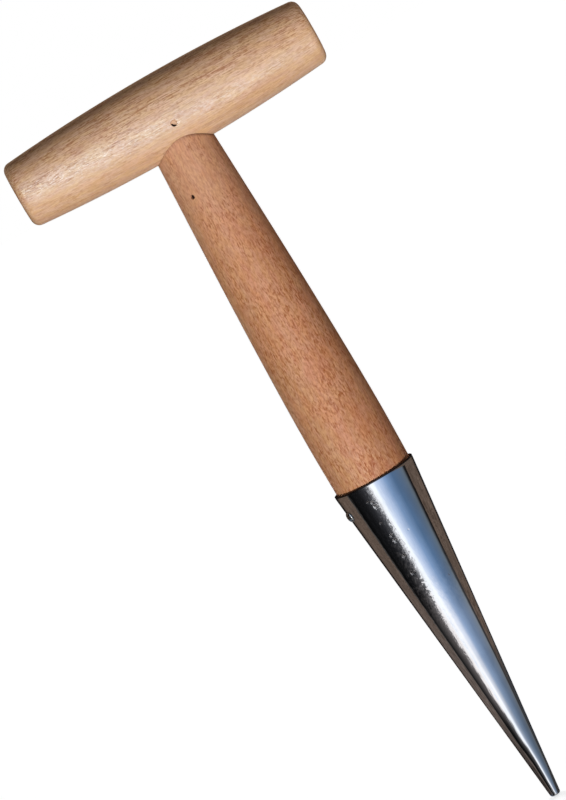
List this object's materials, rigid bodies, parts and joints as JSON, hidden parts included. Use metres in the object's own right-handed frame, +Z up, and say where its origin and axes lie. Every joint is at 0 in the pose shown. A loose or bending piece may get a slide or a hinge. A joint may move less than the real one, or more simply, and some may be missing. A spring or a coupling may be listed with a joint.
{
  "type": "dibber",
  "caption": "Hand dibber with a turned wooden T handle and a polished steel cone that presses planting holes into soil.",
  "frame": {"origin": "centre of the blunt tip of the steel cone, on the ground when the tool stands upright", "axes": "+Z up the shaft to the crossbar, +X along the crossbar, -Y the side that shows the set brads"},
  "size_m": [0.117, 0.031, 0.2896],
  "materials": {
    "crossbar_beech": "sanded and lightly lacquered pale beech",
    "shaft_beech": "sanded and lightly lacquered reddish beech",
    "dowel_beech": "bare",
    "brad_steel": "dull bright wire",
    "polished_steel": "mirror polished",
    "nail_steel": "bright"
  },
  "bodies": {
    "root": {"crossbar": "crossbar_beech", "shaft": "shaft_beech", "joint_dowel": "dowel_beech", "crossbar_brad": "brad_steel", "shaft_brad": "brad_steel", "steel_cone": "polished_steel", "cone_nail": "nail_steel"}
  },
  "joints": []
}
